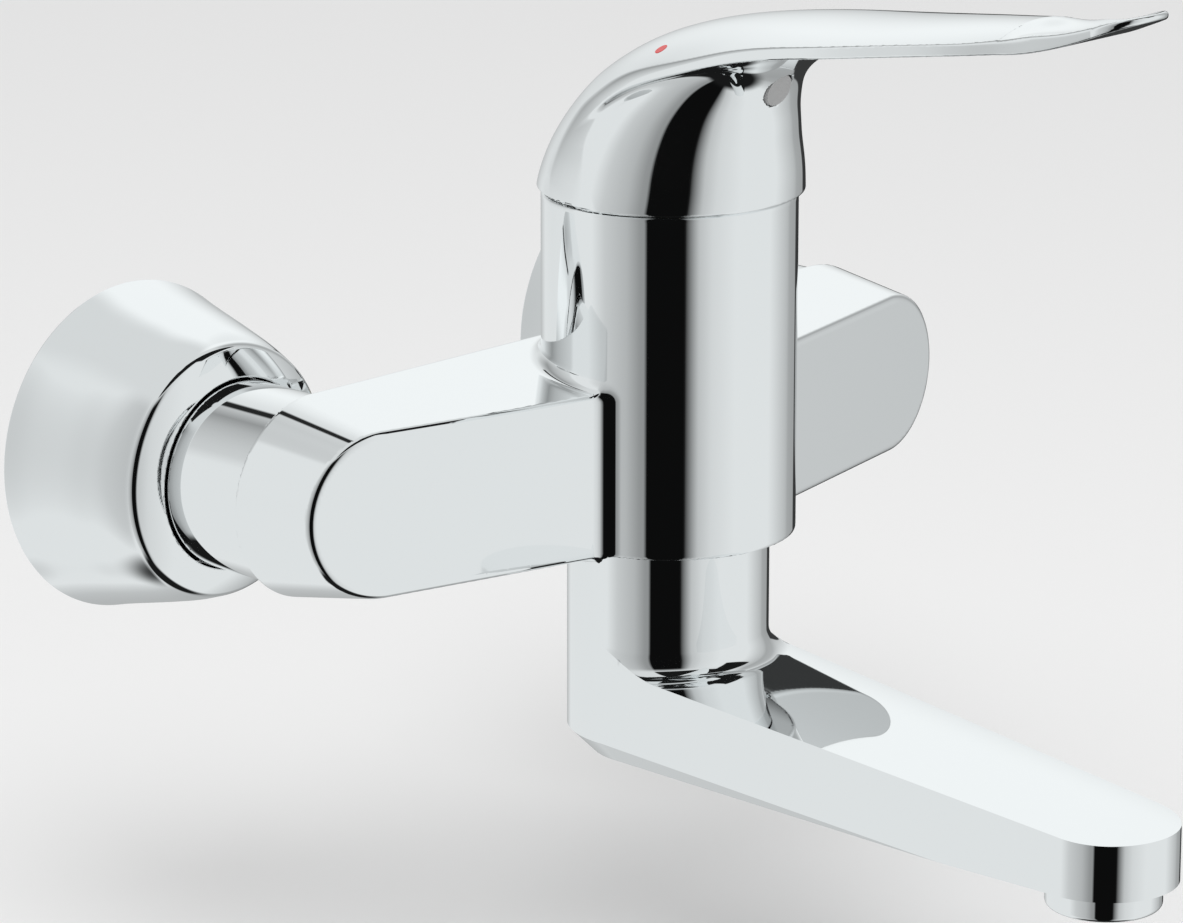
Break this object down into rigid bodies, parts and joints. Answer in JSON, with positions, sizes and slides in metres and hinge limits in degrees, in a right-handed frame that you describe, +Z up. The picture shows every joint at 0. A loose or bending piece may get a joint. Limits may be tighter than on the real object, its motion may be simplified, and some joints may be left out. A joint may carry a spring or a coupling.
{
  "type": "elbow lever tap",
  "caption": "Wall-mounted elbow lever tap: cross body on offset unions, long paddle lever above a mixing cartridge, flat swivel spout below with an aerator.",
  "frame": {"origin": "on the finished wall face, midway between the two supply threads", "axes": "+X right along the wall as the user sees it, +Y into the wall, +Z up"},
  "size_m": [0.2208, 0.2363, 0.1812],
  "materials": {
    "polished_chrome": "mirror-bright chrome plate on brass or zinc",
    "turned_brass": "turned brass, not plated",
    "steel": "bright stainless steel",
    "seal_rubber": "matt black rubber",
    "dark_plastic": "glass-filled plastic, satin",
    "white_plastic": "satin white plastic",
    "ceramic": "lapped ceramic, smooth",
    "grey_plastic": "satin grey plastic",
    "red_mark": "glossy red enamel",
    "blue_mark": "glossy blue enamel"
  },
  "bodies": {
    "tap": {"mixer_body": "polished_chrome", "tail_piece_left": "turned_brass", "union_nut_left": "turned_brass", "sealing_washer_left": "seal_rubber", "strainer_left": "steel", "eccentric_union_left": "turned_brass", "nut_cover_left": "polished_chrome", "escutcheon_left": "polished_chrome", "flange_ring_left": "seal_rubber", "tail_piece_right": "turned_brass", "union_nut_right": "turned_brass", "sealing_washer_right": "seal_rubber", "strainer_right": "steel", "eccentric_union_right": "turned_brass", "nut_cover_right": "polished_chrome", "escutcheon_right": "polished_chrome", "flange_ring_right": "seal_rubber", "port_seals": "seal_rubber", "cartridge_base": "dark_plastic", "fixed_disc": "ceramic", "cartridge_housing": "dark_plastic", "clamp_ring": "turned_brass", "stop_ring": "dark_plastic", "spout_nipple": "turned_brass", "nipple_ring_upper": "seal_rubber", "nipple_ring_lower": "seal_rubber", "glide_ring": "white_plastic"},
    "temperature": {"rotor": "dark_plastic", "pivot_pin": "steel"},
    "lift": {"stem": "turned_brass", "lever_handle": "polished_chrome", "grub_screw": "steel", "screw_plug": "grey_plastic", "hot_mark": "red_mark", "cold_mark": "blue_mark"},
    "disc": {"moving_disc": "ceramic", "disc_carrier": "dark_plastic"},
    "spout": {"spout_body": "polished_chrome", "stop_screw": "steel", "base_plug": "turned_brass", "aerator_housing": "polished_chrome", "aerator_straightener": "white_plastic", "aerator_screens": "steel", "aerator_insert": "white_plastic", "aerator_seal": "seal_rubber"}
  },
  "joints": [
    {"name": "temperature_turn", "type": "hinge", "parent": "tap", "child": "temperature", "pos_m": [0, -0.084, 0.01], "axis": [0, 0, 1], "range_deg": [-45, 45]},
    {"name": "lever_lift", "type": "hinge", "parent": "temperature", "child": "lift", "pos_m": [0, -0.084, 0.053], "axis": [-1, 0, 0], "range_deg": [0, 22]},
    {"name": "disc_slide", "type": "slide", "parent": "temperature", "child": "disc", "axis": [0, -1, 0], "range_m": [0, 0.0051]},
    {"name": "spout_swing", "type": "hinge", "parent": "tap", "child": "spout", "pos_m": [0, -0.084, -0.033], "axis": [0, 0, 1], "range_deg": [-70, 70]}
  ],
  "couplings": [
    {"joint": "disc_slide", "follows": "lever_lift", "m_per_rad": 0.012918}
  ]
}
